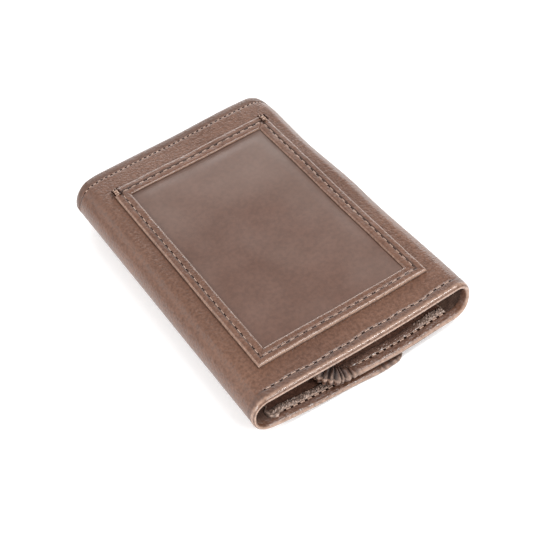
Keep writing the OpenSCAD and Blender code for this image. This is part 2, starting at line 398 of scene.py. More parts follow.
def lining_material(name, dark, light):
    """Fine woven lining, slightly crushed."""
    look = Look(name)
    crushed = look.noise(300, 4)
    layers = [(crushed, 0.6, 0.0005)]
    for direction in ("X", "Y"):
        threads = look.add("TexWave", Vector=look.coords, Scale=420, Distortion=0.6)
        threads.bands_direction = direction
        layers.append((threads.outputs["Fac"], 0.4, 0.00010))
    return look.surface({"Base Color": look.ramp(crushed, (0.3, dark), (0.7, light)),
                         "Roughness": 0.6, "Normal": look.bumps(*layers)})


def thread_material(name, dark, light, roughness, specular):
    """Plied thread, or the painted shade inside a needle hole."""
    look = Look(name)
    fibres = look.noise(2600, 3)
    return look.surface({"Base Color": look.ramp(fibres, (0.3, dark), (0.7, light)),
                         "Roughness": roughness, "Specular IOR Level": specular,
                         "Normal": look.bumps((fibres, 0.5, 0.00008))})


def film_material(name):
    """Soft clear plastic over brown leather, gently rippled, a little cloudy and with painted
    sheen.
    """
    look = Look(name)
    patches = look.noise(60, 4)
    colour = look.ramp(patches, (0.3, (0.118, 0.058, 0.040)), (0.7, (0.142, 0.073, 0.052)))
    grain = look.ramp(look.noise(700, 3), (0.35, (0.86,) * 3), (0.65, (1.12,) * 3))
    colour = look.mix(0.8, colour, grain, "MULTIPLY")
    # random haze and painted sheen mix the colour towards a pale grey
    colour = look.mix(look.attribute("haze_and_sheen"), colour, (0.30, 0.24, 0.21, 1))
    rough = look.ramp(patches, (0.3, (0.30,) * 3), (0.7, (0.40,) * 3))
    return look.surface({"Base Color": colour, "Roughness": rough, "Alpha": 0.8,
                         "Specular IOR Level": 0.7,
                         "Normal": look.bumps((look.noise(22, 2), 0.35, 0.0010))})


OUTER = leather_material("outer_leather", (0.104, 0.044, 0.024), (0.140, 0.064, 0.037),
                         (0.43, 0.285, 0.215), 0.38)
INNER = leather_material("inner_leather", (0.105, 0.049, 0.032), (0.158, 0.081, 0.057),
                         (0.44, 0.32, 0.26), 0.40, 1.1)
CLOTH = lining_material("lining", (0.075, 0.038, 0.026), (0.150, 0.088, 0.062))
THREAD = thread_material("thread", (0.25, 0.15, 0.105), (0.55, 0.39, 0.31), 0.42, 0.25)
# Painted shade for the needle holes: a near-black thread material.
HOLE_SHADE = thread_material("needle_hole_shade", (0.014, 0.006, 0.004), (0.026, 0.012, 0.008), 0.9, 0.05)
FILM = film_material("clear_film")


# -------- mesh helpers
def finish_mesh(name, verts_mm, faces, materials, weld=True, attributes=None, caps=()):
    """A smooth-shaded object from millimetre points, with point attributes for the materials.
    caps are the numbers of the faces that close a cut, which keep a sharp rim."""
    mesh = bpy.data.meshes.new(name)
    mesh.from_pydata([tuple(v) for v in np.asarray(verts_mm) * MM], [], faces)
    for material in materials:
        mesh.materials.append(material)
    for key, values in (attributes or {}).items():
        mesh.attributes.new(key, "FLOAT", "POINT").data.foreach_set("value", values)
    mesh.polygons.foreach_set("use_smooth", [True] * len(mesh.polygons))
    obj = bpy.data.objects.new(name, mesh)
    scene.collection.objects.link(obj)
    if weld:
        bm = bmesh.new()
        bm.from_mesh(mesh)
        bm.faces.ensure_lookup_table()
        for i in caps:
            for edge in bm.faces[i].edges:
                edge.smooth = False
        bmesh.ops.remove_doubles(bm, verts=bm.verts, dist=2e-6)
        bmesh.ops.dissolve_degenerate(bm, edges=bm.edges, dist=1e-7)
        bmesh.ops.recalc_face_normals(bm, faces=bm.faces)
        bm.to_mesh(mesh)
        bm.free()
    mesh.update()
    return obj


def clustered(low, high, step, *places):
    """Samples from low to high at about step, closer together round each (place, width, step)."""
    values = [np.linspace(low, high, max(2, int((high - low) / step) + 1))]
    for where, width, fine in places:
        values.append(np.arange(where - width, where + width + 1e-6, fine))
    values = np.unique(np.round(np.concatenate(values), 4))
    values = values[(values > low + 1e-3) & (values < high - 1e-3)]
    keep = [low]
    for v in values:
        if v - keep[-1] > 0.03:
            keep.append(v)
    return np.array(keep + [high])


def sheet_faces(n_a, n_b):
    """The faces of two grids of n_a by n_b points, one behind the other."""
    faces, base = [], n_a * n_b
    for i in range(n_a - 1):
        for j in range(n_b - 1):
            a = i * n_b + j
            quad = (a, a + 1, a + n_b + 1, a + n_b)
            faces.append(quad)
            faces.append(tuple(base + k for k in reversed(quad)))
    return faces


# -------- leaves: sheets on the path
# An edge is rounded in these steps, in radii from the edge, and the even samples start after them.
EDGE_STEPS = np.array([0, 0.015, 0.06, 0.14, 0.26, 0.42, 0.62, 0.85, 1.1])
EDGE_BAND = 1.15
# The mesh is finer this far on both sides of a hem's inner edge, with this step.
HEM_BAND = (0.6, 0.15)
HEM_SLOPE = 0.25
CORNER_REACH = 14


def plain(s, y, *_):
    """No relief, paling for wear and painted highlight, painted shade or pull."""
    return 0 * s


def whole_hem(s, y):
    return 1.0


def leaf_grid(s, from_end, y_range, corner, radius, step, bands):
    """The sheet's points (s, y). Where a rounded corner cuts in, the even samples are squeezed
    between the edge bands."""
    (y0, y1), gap = y_range, EDGE_BAND * radius
    even = clustered(y0 + gap, y1 - gap, step, *bands)
    share = (even - even[0]) / (even[-1] - even[0])
    by_edge = 1 - smooth(0, CORNER_REACH, np.minimum(even - y0, y1 - even))
    into_corner = np.clip(corner - from_end, 0, corner)
    grid_y = []
    for cut in corner - np.sqrt(corner**2 - into_corner**2):
        a, b = y0 + cut, y1 - cut
        kept = np.clip(even, a + gap, b - gap)
        squeezed = a + gap + share * (b - a - 2 * gap)
        mixing = by_edge * (cut > 1e-6)
        middle = np.sort(kept * (1 - mixing) + squeezed * mixing)
        rim = EDGE_STEPS * radius
        grid_y.append(np.concatenate([a + rim, middle, (b - rim)[::-1]]))
    grid_y = np.array(grid_y)
    return np.repeat(s[:, None], grid_y.shape[1], 1), grid_y


def edge_distance(ds, dy, corner):
    """How far points are from the edge, when they are ds and dy from its straight lines."""
    round_edge = corner - np.hypot(corner - ds, corner - dy)
    edge = np.where((ds < corner) & (dy < corner), round_edge, np.minimum(ds, dy))
    return np.maximum(edge, 0)


def leaf_depths(s, y, edge, depth, radius, hem, hem_share, relief):
    """How deep the outer and the inner face lie; they meet in a round edge."""
    outer, inner = depth
    edge_depth = inner + (hem[1] - inner) * hem_share(s, y)
    on_hem = 1 - smooth(hem[0] - HEM_SLOPE, hem[0] + HEM_SLOPE, edge)
    inner_depth = inner + (edge_depth - inner) * on_hem
    local_r = np.maximum(radius, 0.4 * (edge_depth - outer))
    roundness = np.sqrt(np.clip(1 - (1 - np.minimum(edge / local_r, 1)) ** 2, 0, 1))
    middle = (outer + edge_depth) / 2
    outer_depth = middle - (middle - outer) * roundness
    inner_depth = middle + (inner_depth - middle) * roundness
    return (outer_depth - relief(s, y, edge, 1) * roundness,
            inner_depth + relief(s, y, edge, -1) * roundness)


def leaf_marks(s, y, ds, dy, edge, edge_gloss, wear_and_highlight_at, shade):
    """The attributes that the leather reads, for the outer and then the inner face."""
    outer_wear_and_highlight, inner_wear_and_highlight = wear_and_highlight_at(s, y, 1), wear_and_highlight_at(s, y, -1)
    gloss = np.maximum(edge_gloss * bump(edge, 0.3, 1.1), np.maximum(0.6 * dome(s, y), inner_wear_and_highlight))
    # painted highlight: a thin pale line along the very edge of both faces; painted shade just
    # inside it on the outer face
    painted_edge_highlight = 1 - smooth(0.06, 0.16, edge)
    painted_shade_inside_edge = 0.35 * bump(edge, 0.30, 0.13)
    marks = {
        "hem_x": [bump(dy, 1.4, 1.0)] * 2,
        "hem_y": [bump(ds, 1.0, 1.0)] * 2,
        "gloss": [gloss] * 2,
        "wear_and_highlight": [painted_edge_highlight + outer_wear_and_highlight, bump(edge, 0, 0.45) + inner_wear_and_highlight],
        "shade": [np.maximum(shade(s, y, 1), painted_shade_inside_edge), shade(s, y, -1)],
    }
    return {key: np.array(faces).ravel() for key, faces in marks.items()}


def leaf(name, material, s_range, y_range, depth, corner=0.0, free=(False, False), edge_r=None,
         edge_gloss=1.0, hem=None, hem_share=whole_hem, relief=plain, wear_and_highlight_at=plain, shade=plain,
         pull=None, step=(0.8, 0.9), rows=(), columns=()):
    """A sheet that follows the path: depth is its outer and inner face, in from the leather's
    outer face. free says which ends are edges, rounded with edge_r and, seen flat, with corner.
    hem is (width, depth): the inner face lies that deep near the edges, where hem_share(s, y)
    is 1. edge_gloss is how smooth the leather is along its edges.
    relief(s, y, edge, side) lifts the outer face (side 1) and the inner face (side -1); the two
    functions of (s, y, side) after it say how much a face is painted pale, as wear and as a painted
    highlight, and how much painted shade darkens it; pull(s, y, edge) moves points along (s, y).
    rows and columns are (place, half width, step) bands in which the mesh is finer."""
    radius = edge_r or (depth[1] - depth[0]) / 2
    ends = [(end, way) for end, way, is_free in zip(s_range, (1, -1), free) if is_free]
    s_bands = [(end, 1.2 * radius, radius / 7) for end, way in ends]
    y_bands = []
    if hem:
        s_bands += [(end + way * hem[0], *HEM_BAND) for end, way in ends]
        y_bands = [(y_range[0] + hem[0], *HEM_BAND), (y_range[1] - hem[0], *HEM_BAND)]
    s = clustered(*s_range, step[0], *s_bands, *columns)
    from_end = np.min([np.full(len(s), 1e3)] + [abs(s - end) for end, _ in ends], axis=0)
    s, y = leaf_grid(s, from_end, y_range, corner, radius, step[1], [*y_bands, *rows])
    ds = np.repeat(from_end[:, None], s.shape[1], 1)
    dy = np.minimum(y - y_range[0], y_range[1] - y)
    edge = edge_distance(ds, dy, corner)
    depths = leaf_depths(s, y, edge, depth, radius, hem or (0, depth[1]), hem_share, relief)
    moved = [a + b for a, b in zip((s, y), pull(s, y, edge))] if pull else (s, y)
    verts = np.concatenate([place(*moved, face).reshape(-1, 3) for face in depths])
    faces = sheet_faces(*s.shape)
    n_y, base = s.shape[1], s.size
    cuts = [row for row, is_free in zip((0, base - n_y), free) if not is_free]
    caps = [(a, a + 1, base + a + 1, base + a) for row in cuts for a in range(row, row + n_y - 1)]
    return finish_mesh(name, verts, faces + caps, [material],
                       attributes=leaf_marks(s, y, ds, dy, edge, edge_gloss, wear_and_highlight_at, shade),
                       caps=range(len(faces), len(faces) + len(caps)))


# -------- stitches
STITCH_SIDES = 8
STITCH_RINGS = 9
STITCH_ANGLES = np.linspace(0, 2 * math.pi, STITCH_SIDES, endpoint=False)
# How deep a stitch's ends lie, and the rings of a needle hole's painted shade as (size in thread
# radii, rise).
STITCH_DIP = 0.12
HOLE_RINGS = ((1.80, 0.04), (1.40, 0.09), (0.7, 0.10))


def stitch_rings(p, q, up, side, radius, proud):
    """A two-ply thread that rises from p, lies on the leather and dips into q."""
    verts = []
    for u in np.linspace(0, 1, STITCH_RINGS):
        centre = p + (q - p) * u + up * (proud * (1 - (2 * u - 1) ** 4) - STITCH_DIP)
        taper = 1 - 0.35 * abs(2 * u - 1) ** 5
        for a in STITCH_ANGLES:
            ply = 1 + 0.12 * math.cos(2 * a - 9 * u)
            verts.append(centre + radius * taper * ply
                         * (side * math.cos(a) + up * 0.8 * math.sin(a)))
    return verts


def hole_rings(centre, along, up, side, radius):
    """A low mound painted dark as the shade inside a needle hole, longer along the row."""
    return [centre + up * rise + radius * size * (along * math.cos(a) * 1.3 + side * math.sin(a))
            for size, rise in HOLE_RINGS for a in STITCH_ANGLES]


def tube_faces(first, rings):
    """The faces round a stack of rings, and one over each end."""
    n, last = STITCH_SIDES, first + (rings - 1) * STITCH_SIDES
    faces = []
    for a in range(first, last, n):
        for j in range(n):
            k = (j + 1) % n
            faces.append((a + j, a + k, a + n + k, a + n + j))
    return faces + [tuple(range(first + n - 1, first - 1, -1)), tuple(range(last, last + n))]


def stitch_row(name, ends, radius, body, nodes, proud=0.22):
    """One row: ends is a list of (start, end, outward normal) on the leather."""
    verts, faces, is_hole = [], [], []
    for p, q, up in ends:
        p, q, up = (np.array(v, float) for v in (p, q, up))
        along = (q - p) / np.linalg.norm(q - p)
        side = np.cross(along, up)
        shapes = [(stitch_rings(p, q, up, side, radius, proud), STITCH_RINGS, 0)]
        for end_point, way in ((p, -1), (q, 1)):
            centre = end_point + along * way * radius * 0.9
            shapes.append((hole_rings(centre, along, up, side, radius), len(HOLE_RINGS), 1))
        for points, rings, hole in shapes:
            added = tube_faces(len(verts), rings)
            verts += points
            faces += added
            is_hole += [hole] * len(added)
    # the needle hole mounds get the near-black material: painted shade
    obj = finish_mesh(name, verts, faces, [THREAD, HOLE_SHADE], weld=False)
    obj.data.polygons.foreach_set("material_index", is_hole)
    attach(obj, body, nodes)


def dashes(low, high, pitch, length):
    """Start and end of each stitch along a row."""
    count = int((high - low - length) / pitch)
    first = (low + high - count * pitch - length) / 2
    return [(first + i * pitch, first + i * pitch + length) for i in range(count + 1)]


def sewn_along_path(name, spans, depth_at, side, radius, body, nodes, proud=0.22):
    """A row on a path sheet: spans are ((s, y), (s, y)) pairs, depth_at(s, y) is the sheet's face,
    and side -1 says that it is an inner face."""
    ends = []
    for span in spans:
        p, q = (place(np.array(s), np.array(y), depth_at(s, y)) for s, y in span)
        _, _, nx, nz = PATH.at((span[0][0] + span[1][0]) / 2)
        ends.append((p, q, (side * nx, 0, side * nz)))
    stitch_row(name, ends, radius, body, nodes, proud)


# -------- the outer leather
HEM = 7.0
HEM_DEPTH = 2.0
OPEN_ROW = 3.7
FAR_ROW = 3.7
WING_ROW = 2.7
WING_HEM_DEPTH = 2.2
THREAD_R = 0.16
THICK_R = 0.17
WING_THREAD_R = 0.22
# The painted shade of a row's crease lies beside the thread, towards the edge.
ROW_SIDE = 0.28


def open_row_y(s):
    """The open-end row wanders a little as it runs along the edge."""
    return Y_NEAR + OPEN_ROW + 0.25 * np.sin(s / 5.3) + 0.20 * np.sin(s / 2.1 + 1.0)


def on_centre(s):
    """1 on the centre panel and 0 on the folds."""
    rise = smooth(MARK["left_high"] - 3, MARK["left_high"], s)
    return rise * (1 - smooth(MARK["right_high"], MARK["right_high"] + 3, s))


def fold_hem(s, y):
    """How much of the turned hem is left: thin round the big fold, fuller round the small one,
    and puffed up at the inner wing's free corner."""
    left = 1 - smooth(4, 13, abs(s - MARK["left_mid"]))
    right = 1 - smooth(4, 11, abs(s - MARK["right_mid"]))
    return 1 - 0.75 * left - 0.30 * right + 4.2 * dome(s, y)


def far_relief(s, y, side):
    """The groove of the far row and the rolled strip beyond it, which run round both folds."""
    fade = smooth(MARK["left_low"], MARK["left_mid"], s)
    fade = fade * (1 - smooth(MARK["right_mid"], MARK["right_low"], s))
    roll = -0.25 * smooth(Y_FAR - FAR_ROW, Y_FAR + 0.4, y) ** 2
    if side < 0:
        return -0.6 * roll * fade
    return fade * (roll - 0.34 * bump(y, Y_FAR - FAR_ROW, 0.40))


def centre_relief(s, y, edge, side):
    """Puffed hem between the row and the edge, drawn down along each row of stitches."""
    row = open_row_y(s)
    t = np.clip((y - Y_NEAR) / (row - Y_NEAR), 0, 1)
    puff = 0.14 * np.sin(math.pi * t ** 0.7) ** 1.5 * (0.25 + 0.75 * on_centre(s))
    groove = -0.26 * bump(y, row, 0.36) * on_centre(s)
    if side < 0:
        return far_relief(s, y, side)
    near = 1 - smooth(Y_NEAR + OPEN_ROW, Y_NEAR + OPEN_ROW + 2, y)
    ripple = 0.03 * near * waves(s, 0.2 * y, 1.7, 11)
    return puff + groove + far_relief(s, y, side) + ripple


def painted_hem_highlight(s, y, side):
    """Painted highlight: the puffed edge of the centre panel's open end is painted a little paler.
    """
    return 0.75 * (side > 0) * bump(y, Y_NEAR + 0.9, 0.65)


def centre_shade(s, y, side):
    """Painted shade: dark lines beside the rows, a darker band between the open-end row and its
    puffed edge, and a darker rolled strip beyond the far row.
    """
    row = open_row_y(s)
    near = bump(y, row - ROW_SIDE, 0.32) * on_centre(s)
    hem = 0.30 * smooth(Y_NEAR + 1.3, Y_NEAR + 2.2, y) * (1 - smooth(row - 0.2, row + 0.3, y))
    far = 0.8 * bump(y, Y_FAR - FAR_ROW, 0.22)
    # painted shade on the rolled strip beyond the far row, which faces away from the light
    beyond = 0.36 * smooth(Y_FAR - FAR_ROW, Y_FAR - FAR_ROW + 0.8, y)
    return np.maximum(np.maximum(near, far), hem) + beyond


def leather_pieces():
    """The one outer skin, in four pieces."""
    skins = [
        ("outer_skin", ["outer_wing_leather", "left_fold_leather"]),
        ("center_skin_left", ["center_shell"]),
        ("center_skin_right", ["right_fold_leather"]),
        ("inner_skin", ["inner_wing_leather"]),
    ]
    for (name, nodes), (a, b, quarter) in zip(skins, CUTS):
        if name in ("outer_skin", "inner_skin"):
            piece = wing_skin(name, a, b)
        else:
            piece = leaf(name, OUTER, (MARK[a], MARK[b]), (Y_NEAR, Y_FAR), (0, LEATHER),
                         hem=(HEM, HEM_DEPTH), hem_share=fold_hem, edge_r=1.0,
                         relief=centre_relief, wear_and_highlight_at=painted_hem_highlight, shade=centre_shade,
                         step=(0.55, 0.9),
                         rows=((Y_NEAR + OPEN_ROW, 1.4, 0.16), (Y_NEAR + 1.8, 1.0, 0.2),
                               (Y_FAR - FAR_ROW, 0.9, 0.16)))
        attach(piece, quarter, nodes)


def free_end(s):
    return "outer_free" if s.mean() < MARK["left_mid"] else "inner_free"


def wing_relief(s, y, edge, side):
    """The wings' turned edge has a valley beside its row, and pleats at its corners."""
    free = free_end(s)
    reach = 1 - smooth(3.0, 8.0, edge)
    folds = -reach * PLEAT_DEPTH[free] * pleat_valleys(s, y, free)[0]
    far = far_relief(s, y, side)
    if side > 0:
        return far + 0.12 * bump(edge, 1.6, 1.2) + 0.5 * folds
    slope = -0.30 * (1 - smooth(0.6, WING_ROW, edge))
    return far + slope + 0.03 * waves(s, y, 2.2, 7) + folds


def wing_shade(s, y, side):
    """Painted shade: in the pleats, along and beside the row, on the puffed corner and under the
    wing's edge.
    """
    from_edge = y - Y_NEAR
    if side > 0:
        if free_end(s) == "outer_free":
            off_fold = 1 - smooth(MARK["left_low"] - 16, MARK["left_low"] - 4, s)
        else:
            off_fold = smooth(MARK["right_low"], MARK["right_low"] + 8, s)
        # painted shade under the wing's edge, away from the folds
        return 0.40 * off_fold * (1 - smooth(0.2, 1.6, from_edge))
    # painted shade in the pleats' valleys, along the row and on the flat beside it
    pleats = pleat_valleys(s, y, free_end(s))[0] ** 0.4
    beside = 0.30 * smooth(0.9, 2.3, from_edge) * (1 - smooth(WING_ROW, WING_ROW + 0.6, from_edge))
    row = 0.7 * bump(from_edge, WING_ROW, 0.25)
    # painted shade on the puffed free corner
    return np.maximum(np.maximum(pleats, row), beside) + 0.52 * dome(s, y)


def pleat_pull(s, y, edge):
    """The pleats also draw the edge itself in, along (s, y)."""
    free = free_end(s)
    reach = PLEAT_DEPTH[free] * (1 - smooth(1.0, 4.5, edge))
    _, into_s, into_y = pleat_valleys(s, y, free)
    return reach * into_s, reach * into_y


def painted_lip_highlight(s, y, side):
    """The outer wing's edge gets the painted highlight only where it turns up into the big fold."""
    by_fold = smooth(MARK["left_low"] - 8, MARK["left_low"] + 2, s) * (s <= MARK["left_mid"])
    return by_fold * painted_hem_highlight(s, y, side)


def wing_skin(name, a, b):
    free = (a == "outer_free", b == "inner_free")
    end = a if free[0] else b
    return leaf(name, OUTER, (MARK[a], MARK[b]), (Y_NEAR, Y_FAR), (0, LEATHER),
                corner=CORNERS[end], free=free, hem=(WING_ROW + 0.2, WING_HEM_DEPTH),
                hem_share=fold_hem, edge_r=1.0, edge_gloss=0.2, relief=wing_relief,
                wear_and_highlight_at=painted_lip_highlight, shade=wing_shade, pull=pleat_pull,
                step=(0.5, 0.9), rows=((Y_NEAR + 4.0, 4.0, 0.25),),
                columns=((MARK[end], CORNERS[end] + 8, 0.2),))


leather_pieces()


# -------- linings, panels and pockets
LINING_INSET = 3


def crease(y_mouth):
    """A pocket leaf with a pressed line below its mouth."""
    def relief(s, y, edge, side):
        return -0.10 * (side < 0) * bump(y, y_mouth + 2.2, 0.28)
    return relief


def crumpled(s, y, edge, side):
    """Slow waves in thin cloth."""
    return side * 0.04 * waves(s, y, 8.0, 21) * smooth(0.2, 1.5, edge)


def strip_share(y, y_edge):
    """1 on the bunched strip along a wing panel's cut edge."""
    return smooth(0.0, 0.5, y - y_edge) * (1 - smooth(2.1, 2.9, y - y_edge))


def bunching(s):
    """How strongly a wing panel's edge is bunched: all along the outer wing, but on the inner
    wing mostly next to its fold."""
    on_inner = smooth(INNER_FOLD - 1, INNER_FOLD, s)
    return 1 - 0.65 * on_inner * smooth(INNER_FOLD + 6, INNER_FOLD + 14, s)


def knots(s, y, seed):
    """The lumps of a bunched edge, mostly from 0 to 1.5."""
    return np.abs(waves(s, 1.8 * y, 1.5, seed)) - 0.4 * np.abs(waves(s, y, 0.9, seed + 2))


def gathered_edge(y_edge, seed):
    """A wing panel whose cut edge is bunched up beside the row of stitches."""
    def relief(s, y, edge, side):
        if side > 0:
            return 0 * s
        strip = strip_share(y, y_edge) * bunching(s)
        return strip * (0.45 + 0.45 * knots(s, y, seed)) + 0.05 * waves(s, y, 3.0, seed + 1)
    return relief


def crevice_shade(y_edge, seed):
    """Painted shade between the lumps of a bunched edge."""
    def shade(s, y, side):
        low = 1 - smooth(0.05, 0.45, knots(s, y, seed))
        return 0.8 * (side < 0) * low * strip_share(y, y_edge) * bunching(s)
    return shade


def frayed_end(s, y, edge):
    """The outer wing's card panel is torn at its end in the big fold, and splays towards the
    open end there."""
    at_end = smooth(OUTER_FOLD, OUTER_FOLD + PANEL_TAIL, s)
    return 1.1 * at_end * waves(y, 0 * s, 2.6, 31), -1.9 * at_end * strip_share(y, PANEL_EDGE)


def strip_wear_and_highlight(s, y, side):
    """The bunched strip is painted pale, partly as wear and partly as a painted highlight, most of
    all next to the big fold.
    """
    by_fold = 1 + 0.5 * smooth(OUTER_FOLD - 8, OUTER_FOLD, s)
    return 0.6 * (side < 0) * strip_share(y, PANEL_EDGE) * bunching(s) ** 2 * by_fold


def lining_pieces():
    """The bill compartment's lining, cut at the same places as the leather."""
    y_range = (Y_NEAR + 1.6, Y_FAR - 1.5)
    depth = (LEATHER + 0.02, LEATHER + 0.02 + LINING)
    linings = [
        ("lining_outer", ["outer_wing_lining", "left_fold_lining"]),
        ("lining_center_left", ["center_lining"]),
        ("lining_center_right", ["right_fold_lining"]),
        ("lining_inner", ["inner_wing_lining"]),
    ]
    for (name, nodes), (a, b, quarter) in zip(linings, CUTS):
        free = (a == "outer_free", b == "inner_free")
        s_range = (MARK[a] + LINING_INSET * free[0], MARK[b] - LINING_INSET * free[1])
        piece = leaf(name, CLOTH, s_range, y_range, depth, free=free, relief=crumpled)
        attach(piece, quarter, nodes)


lining_pieces()

CENTRE_LEFT = PATH.where(SHELL_LOW[0] + 2, "left_high", "middle")
CENTRE_RIGHT = PATH.where(SHELL_HIGH[0] - 2, "middle", "right_high")
OUTER_FOLD = PATH.where(OUTER_LOW[0] + 2, "outer_free", "left_low")
INNER_FOLD = PATH.where(RIGHT_LOW[0] - 2, "right_mid", "curl")
PANEL_EDGE = Y_NEAR + 2.9
# The outer wing's card panel runs on this far past its CAD solid, into the big fold.
PANEL_TAIL = 3.6


def panel_pieces():
    """The card panels and pockets: thin leather leaves at their CAD depths and places."""
    for node in ("bill_divider", "center_card_panel", "center_pocket_rear",
                 "center_pocket_middle", "center_pocket_front"):
        low, high = box_mm(node)
        yield (node, (CENTRE_LEFT, CENTRE_RIGHT), (low[1], high[1]),
               (TOP_Z - high[2], TOP_Z - low[2]), "center_panel")
    for wing, floor_z in (("outer", 0.0), ("inner", INNER_Z)):
        for part in ("card_panel", "pocket_rear", "pocket_front"):
            node = f"{wing}_wing_{part}"
            low, high = box_mm(node)
            # the curl lifts the inner wing's free end, so its depth is read at its flat, low face
            depth = low[2] - floor_z
            inset = 2.6 if part == "card_panel" else 3.4
            if wing == "outer":
                fold_end = OUTER_FOLD + (PANEL_TAIL if part == "card_panel" else 0)
                s_range = (MARK["outer_free"] + inset, fold_end)
            else:
                s_range = (INNER_FOLD, MARK["inner_free"] - inset)
            yield (node, s_range, (max(low[1], PANEL_EDGE), min(high[1], Y_FAR - 2.8)),
                   (depth, depth + CARD), f"{wing}_wing")


for node, s_range, y_range, depth, body in panel_pieces():
    cloth = node == "bill_divider"
    bunched = node in ("outer_wing_card_panel", "inner_wing_card_panel")
    y_edge, seed = y_range[0], len(node)
    piece = leaf(f"{node}_leaf", CLOTH if cloth else INNER, s_range, y_range, depth,
                 free=(True, True),
                 relief=gathered_edge(y_edge, seed) if bunched else crease(y_edge),
                 wear_and_highlight_at=strip_wear_and_highlight if bunched else plain,
                 shade=crevice_shade(y_edge, seed) if bunched else plain,
                 pull=frayed_end if node == "outer_wing_card_panel" else None,
                 step=(0.22, 0.9) if bunched else (0.9, 1.2),
                 rows=((y_range[0] + 1.8, 1.8, 0.18 if bunched else 0.3),))
    attach(piece, body, [node])


# -------- the ID frame and its window
ID_THICK = FRAME_HIGH[2] - FRAME_LOW[2]
BAND = 5.0
ID_ROW = 2.5
ID_FOOT_W = 2.0
ID_FOOT_H = 0.45
ID_GROOVE = 0.34
ID_PITCH, ID_STITCH = 3.15, 2.05
# How pale the band's edges are painted, as wear and as painted highlight: on the near side, and on
# the other sides.
NEAR_WEAR_AND_HIGHLIGHT = 0.95
SIDE_WEAR_AND_HIGHLIGHT = 0.7


def id_profile():
    """The frame's band, from its outer foot over the top to its inner foot, as a list of
    (inset, height, paleness from wear and painted highlight)."""
    top = ID_THICK
    points = [(0.12, 0.0, 0.3), (0.0, 0.30, 0.7), (0.0, 0.62, 0.9), (0.07, 0.92, 1.0),
              (0.22, 1.13, 0.9), (0.46, 1.24, 0.5), (0.8, top - 0.01, 0.15)]
    for inset in np.arange(1.2, 4.3, 0.13):
        points.append((inset, top - ID_GROOVE * bump(inset, ID_ROW, 0.28), 0.0))
    points += [(4.45, top - 0.06, 0.1), (4.70, top - 0.16, 0.5), (4.88, top - 0.30, 0.9),
               (BAND - 0.03, top - 0.46, 0.9), (BAND, top - 0.62, 0.5), (BAND - 0.1, 0.56, 0.2),
               (ID_FOOT_W + 0.1, ID_FOOT_H + 0.05, 0.0), (ID_FOOT_W - 0.1, 0.0, 0.0)]
    return points


def skewed(x, y, z):
    """The ID frame is sewn on a little narrower at its far end, and follows the slack panel."""
    across = (x - FRAME_LOW[0]) / (FRAME_HIGH[0] - FRAME_LOW[0])
    along = (y - FRAME_LOW[1]) / (FRAME_HIGH[1] - FRAME_LOW[1])
    return warp(x + across * (0.6 - 1.9 * along), y + 0.4 * along, z)


def band_stations(corners):
    """Places round the frame, closer together at its corners: the side, the share of the way
    along it, and how far the nearest corner is."""
    for side in range(4):
        length = np.linalg.norm(corners[(side + 1) % 4] - corners[side])
        for along in clustered(0, length, 0.9, (0, 0.6, 0.12), (length, 0.6, 0.12))[:-1]:
            yield side, along / length, min(along, length - along)


def id_frame_piece():
    """Sweeps the band round the window with mitred corners; the far side has no foot, so that
    a card can slide in."""
    (x0, y0), (x1, y1) = FRAME_LOW[:2], FRAME_HIGH[:2]
    corners = np.array([(x0, y0), (x1, y0), (x1, y1), (x0, y1)])
    inward = np.array([(1, 1), (-1, 1), (-1, -1), (1, -1)])
    near_side, far_side = 0, 2
    profile = id_profile()
    verts, wear_and_highlight, wear_and_highlight_share, shade = [], [], [], []
    for side, t, from_corner in band_stations(corners):
        mitre = 0.22 * bump(from_corner, 0, 0.22)
        for inset, height, pale_wear_and_highlight in profile:
            p, q = (corners[k] + inward[k] * inset for k in (side, (side + 1) % 4))
            x, y = p + (q - p) * t
            over = height > ID_FOOT_H + 0.1
            z = height + over * (0.05 * waves(x, y, 7, 2) - mitre)
            if side == far_side and t > 0 and not over:
                z = ID_FOOT_H + 0.02
            verts.append(skewed(x, y, FRAME_LOW[2] + z))
            wear_and_highlight.append(pale_wear_and_highlight)
            # wear and painted highlight: the near side's edge is painted pale broadly, the other
            # sides only in a thin line
            wear_and_highlight_share.append(NEAR_WEAR_AND_HIGHLIGHT * pale_wear_and_highlight if side == near_side else SIDE_WEAR_AND_HIGHLIGHT * pale_wear_and_highlight**3)
            # painted shade beside the row, and a thin painted shadow line at the band's outer foot
            foot = 0.9 * (inset < 0.2 and height < 0.4)
            shade.append(max(bump(inset, ID_ROW - ROW_SIDE, 0.25), foot))
    m = len(profile)
    n = len(verts) // m
    faces = []
    for a in range(0, n * m, m):
        b = (a + m) % (n * m)
        for k in range(m):
            up = (k + 1) % m
            faces.append((a + k, b + k, b + up, a + up))
    piece = finish_mesh("id_frame_leather", verts, faces, [OUTER],
                        attributes={"wear_and_highlight": wear_and_highlight_share, "gloss": wear_and_highlight, "shade": shade})
    attach(piece, "center_panel", ["id_frame"])


